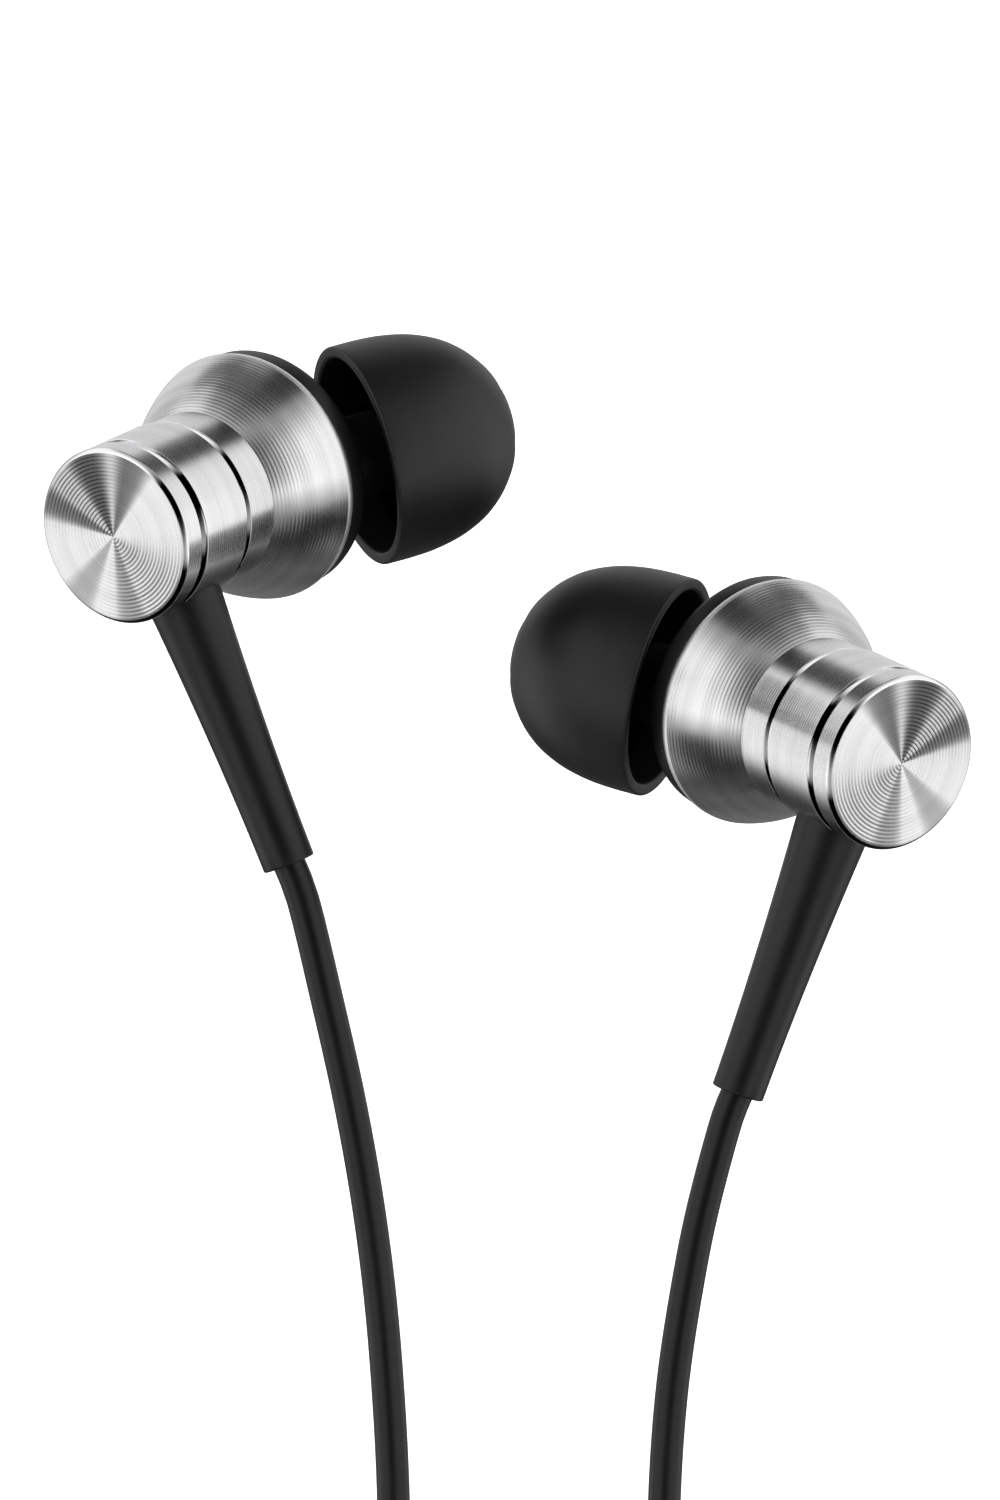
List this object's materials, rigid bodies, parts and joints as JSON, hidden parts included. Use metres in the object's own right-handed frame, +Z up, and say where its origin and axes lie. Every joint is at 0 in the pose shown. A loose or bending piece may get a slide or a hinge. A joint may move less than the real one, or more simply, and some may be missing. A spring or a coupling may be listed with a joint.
{
  "type": "wired earphones",
  "caption": "Wired in-ear earphones: turned aluminium earpieces with angled nozzles and silicone tips, tapered strain reliefs, slim cord with slider, splitter, in-line remote and jack plug.",
  "frame": {"origin": "midway between the mouths of the two ear tips, where the wearer holds the earpieces; the cord hangs below", "axes": "+X from the left earpiece to the right one, +Y away from the end caps towards the nozzle side, +Z up; the buttons of the remote face -Y"},
  "size_m": [0.052, 0.0227, 0.1964],
  "materials": {
    "turned_aluminium": "fine turning lines, bright anodised",
    "black_plastic": "moulded, satin",
    "black_silicone": "satin silicone",
    "soft_jacket": "soft satin thermoplastic elastomer",
    "plated_steel": "plated, satin",
    "nickel_magnet": "nickel plated",
    "enamelled_copper": "enamelled wire; brass stands in for copper",
    "titanium_film": "thin metallised film",
    "circuit_board": "green solder mask",
    "damping_felt": "felt",
    "plated_contact": "gold-coloured plating",
    "crimped_brass": "plain"
  },
  "bodies": {
    "earpieces_and_cord": {"left_end_cap": "turned_aluminium", "left_rear_housing": "turned_aluminium", "left_front_housing": "black_plastic", "left_nozzle_mesh": "plated_steel", "left_gasket": "black_silicone", "left_driver_frame": "black_plastic", "left_diaphragm": "titanium_film", "left_voice_coil": "enamelled_copper", "left_yoke": "plated_steel", "left_magnet": "nickel_magnet", "left_top_plate": "plated_steel", "left_driver_board": "circuit_board", "left_tuning_filter": "damping_felt", "left_strain_relief": "soft_jacket", "left_cord_crimp": "crimped_brass", "left_inner_lead": "soft_jacket", "right_end_cap": "turned_aluminium", "right_rear_housing": "turned_aluminium", "right_front_housing": "black_plastic", "right_nozzle_mesh": "plated_steel", "right_gasket": "black_silicone", "right_driver_frame": "black_plastic", "right_diaphragm": "titanium_film", "right_voice_coil": "enamelled_copper", "right_yoke": "plated_steel", "right_magnet": "nickel_magnet", "right_top_plate": "plated_steel", "right_driver_board": "circuit_board", "right_tuning_filter": "damping_felt", "right_strain_relief": "soft_jacket", "right_cord_crimp": "crimped_brass", "right_inner_lead": "soft_jacket", "left_cord": "soft_jacket", "right_upper_cord": "soft_jacket", "right_lower_cord": "soft_jacket", "main_cord": "soft_jacket", "cord_hank": "soft_jacket", "hank_tie": "black_silicone", "y_splitter": "black_plastic", "remote_front_shell": "turned_aluminium", "remote_back_shell": "black_plastic", "remote_board": "circuit_board", "volume_up_switch": "plated_steel", "play_switch": "plated_steel", "volume_down_switch": "plated_steel", "microphone": "plated_steel", "plug_boot": "soft_jacket", "plug_housing": "turned_aluminium", "plug_sleeve": "plated_contact", "plug_ring_inner": "plated_contact", "plug_ring_outer": "plated_contact", "plug_tip": "plated_contact", "plug_insulator": "black_plastic"},
    "left_ear_tip_body": {"left_ear_tip": "black_silicone"},
    "right_ear_tip_body": {"right_ear_tip": "black_silicone"},
    "cord_slider_body": {"cord_slider": "black_plastic"},
    "volume_up_body": {"volume_up_button": "black_plastic"},
    "play_body": {"play_button": "black_plastic"},
    "volume_down_body": {"volume_down_button": "black_plastic"}
  },
  "joints": [
    {"name": "left_ear_tip_slide", "type": "slide", "parent": "earpieces_and_cord", "child": "left_ear_tip_body", "axis": [0.9163, 0.3516, 0.1919], "range_m": [0, 0.008]},
    {"name": "right_ear_tip_slide", "type": "slide", "parent": "earpieces_and_cord", "child": "right_ear_tip_body", "axis": [-0.9163, 0.3516, 0.1919], "range_m": [0, 0.008]},
    {"name": "cord_slider_slide", "type": "slide", "parent": "earpieces_and_cord", "child": "cord_slider_body", "axis": [0, 0, 1], "range_m": [0, 0.007]},
    {"name": "volume_up_press", "type": "slide", "parent": "earpieces_and_cord", "child": "volume_up_body", "axis": [0, 1, 0], "range_m": [0, 0.0003], "stiffness_N_per_m": 300},
    {"name": "play_press", "type": "slide", "parent": "earpieces_and_cord", "child": "play_body", "axis": [0, 1, 0], "range_m": [0, 0.0003], "stiffness_N_per_m": 300},
    {"name": "volume_down_press", "type": "slide", "parent": "earpieces_and_cord", "child": "volume_down_body", "axis": [0, 1, 0], "range_m": [0, 0.0003], "stiffness_N_per_m": 300}
  ]
}
